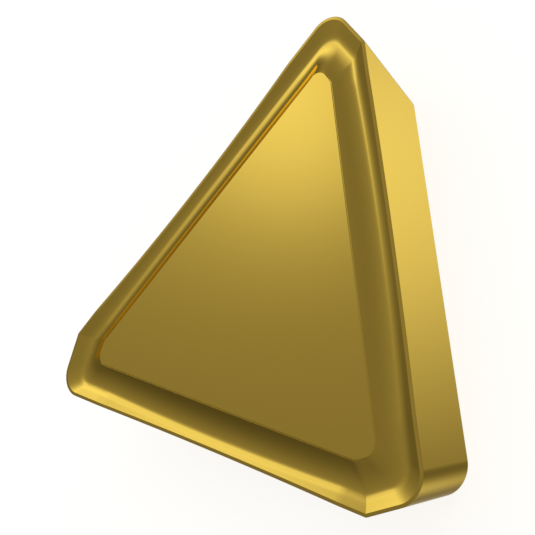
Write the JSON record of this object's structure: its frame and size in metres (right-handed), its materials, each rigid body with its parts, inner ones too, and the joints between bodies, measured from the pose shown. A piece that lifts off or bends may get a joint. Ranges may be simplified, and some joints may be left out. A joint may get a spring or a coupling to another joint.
{
  "type": "indexable carbide insert",
  "caption": "Triangular carbide milling insert with a coated body, wiper facets, dipped cutting edges and a raised island.",
  "frame": {"origin": "centre of the inscribed circle on the seat face", "axes": "+Z from the seat face to the rake face, one main cutting edge along -Y"},
  "size_m": [0.0146, 0.0131, 0.0033],
  "materials": {
    "coated_carbide": "satin"
  },
  "bodies": {
    "root": {"insert": "coated_carbide"}
  },
  "joints": []
}
